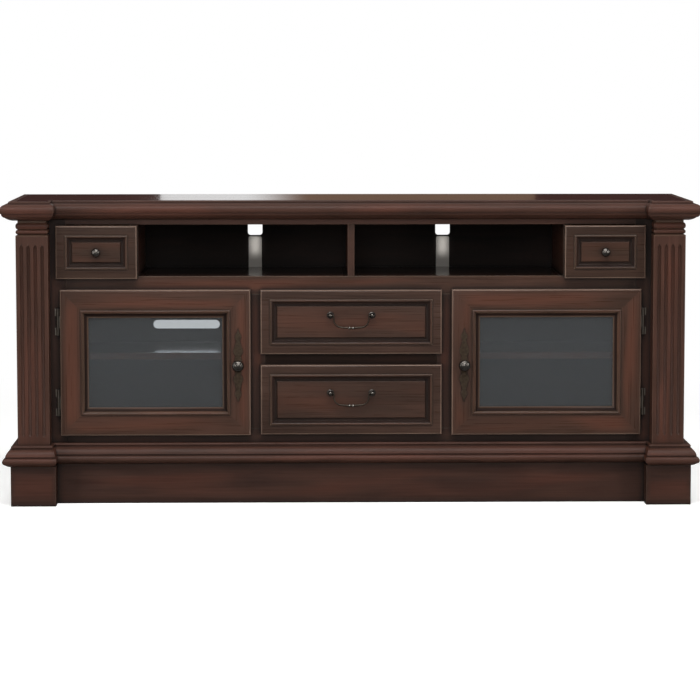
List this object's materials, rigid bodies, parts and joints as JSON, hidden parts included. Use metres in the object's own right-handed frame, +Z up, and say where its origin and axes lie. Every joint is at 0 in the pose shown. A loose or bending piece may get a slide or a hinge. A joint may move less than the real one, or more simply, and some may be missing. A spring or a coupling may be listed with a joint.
{
  "type": "tv console",
  "caption": "Long breakfront television console with fluted pilasters, an open media bay, glazed cupboard doors, centre drawers with bails and small knob drawers.",
  "frame": {"origin": "on the floor, in the middle of the cabinet's box", "axes": "+X to the right seen from the front, +Y to the back, +Z up"},
  "size_m": [1.829, 0.48, 0.8],
  "materials": {
    "stained_wood": "satin",
    "secondary_wood": "matte",
    "back_board": "matte",
    "door_glass": "polished",
    "bronze": "satin",
    "steel_fittings": "brushed",
    "feet": "matte"
  },
  "bodies": {
    "cabinet": {"top_panel": "stained_wood", "crown_moulding": "stained_wood", "sub_top_panel": "stained_wood", "side_panel_left": "stained_wood", "side_panel_right": "stained_wood", "bottom_panel": "stained_wood", "deck_panel": "stained_wood", "partition_left": "stained_wood", "partition_right": "stained_wood", "drawer_divider_left": "stained_wood", "drawer_divider_right": "stained_wood", "bay_divider": "stained_wood", "top_rail": "stained_wood", "deck_rail": "stained_wood", "bottom_rail": "stained_wood", "drawer_rail": "stained_wood", "stiles": "stained_wood", "mullions": "stained_wood", "back_panel": "back_board", "shelf_left": "stained_wood", "shelf_right": "stained_wood", "shelf_clips": "steel_fittings", "pilaster_left": "stained_wood", "pilaster_right": "stained_wood", "capital_left": "stained_wood", "capital_right": "stained_wood", "plinth_block_left": "stained_wood", "plinth_block_right": "stained_wood", "plinth_boards": "stained_wood", "base_moulding": "stained_wood", "support_feet": "feet", "drawer_runners": "secondary_wood", "hinge_frame_leaves": "bronze", "door_catches": "steel_fittings"},
    "left_door": {"left_door_frame": "stained_wood", "left_door_bead": "stained_wood", "left_door_glass": "door_glass", "left_door_knob": "bronze", "left_door_backplate": "bronze", "left_door_fittings": "bronze"},
    "right_door": {"right_door_frame": "stained_wood", "right_door_bead": "stained_wood", "right_door_glass": "door_glass", "right_door_knob": "bronze", "right_door_backplate": "bronze", "right_door_fittings": "bronze"},
    "upper_drawer": {"upper_drawer_front": "stained_wood", "upper_drawer_box": "secondary_wood", "upper_drawer_posts": "bronze"},
    "lower_drawer": {"lower_drawer_front": "stained_wood", "lower_drawer_box": "secondary_wood", "lower_drawer_posts": "bronze"},
    "left_small_drawer": {"left_small_drawer_front": "stained_wood", "left_small_drawer_box": "secondary_wood", "left_small_drawer_knob": "bronze"},
    "right_small_drawer": {"right_small_drawer_front": "stained_wood", "right_small_drawer_box": "secondary_wood", "right_small_drawer_knob": "bronze"},
    "upper_bail": {"upper_drawer_bail": "bronze"},
    "lower_bail": {"lower_drawer_bail": "bronze"}
  },
  "joints": [
    {"name": "left_door_hinge", "type": "hinge", "parent": "cabinet", "child": "left_door", "pos_m": [-0.772, -0.1472, 0.373], "axis": [0, 0, -1], "range_deg": [0, 90]},
    {"name": "right_door_hinge", "type": "hinge", "parent": "cabinet", "child": "right_door", "pos_m": [0.772, -0.1472, 0.373], "axis": [0, 0, 1], "range_deg": [0, 90]},
    {"name": "upper_drawer_slide", "type": "slide", "parent": "cabinet", "child": "upper_drawer", "axis": [0, -1, 0], "range_m": [0, 0.26]},
    {"name": "lower_drawer_slide", "type": "slide", "parent": "cabinet", "child": "lower_drawer", "axis": [0, -1, 0], "range_m": [0, 0.26]},
    {"name": "left_small_drawer_slide", "type": "slide", "parent": "cabinet", "child": "left_small_drawer", "axis": [0, -1, 0], "range_m": [0, 0.26]},
    {"name": "right_small_drawer_slide", "type": "slide", "parent": "cabinet", "child": "right_small_drawer", "axis": [0, -1, 0], "range_m": [0, 0.26]},
    {"name": "upper_bail_hinge", "type": "hinge", "parent": "upper_drawer", "child": "upper_bail", "pos_m": [0, -0.1755, 0.498], "axis": [-1, 0, 0], "range_deg": [0, 90]},
    {"name": "lower_bail_hinge", "type": "hinge", "parent": "lower_drawer", "child": "lower_bail", "pos_m": [0, -0.1755, 0.2925], "axis": [-1, 0, 0], "range_deg": [0, 90]}
  ]
}
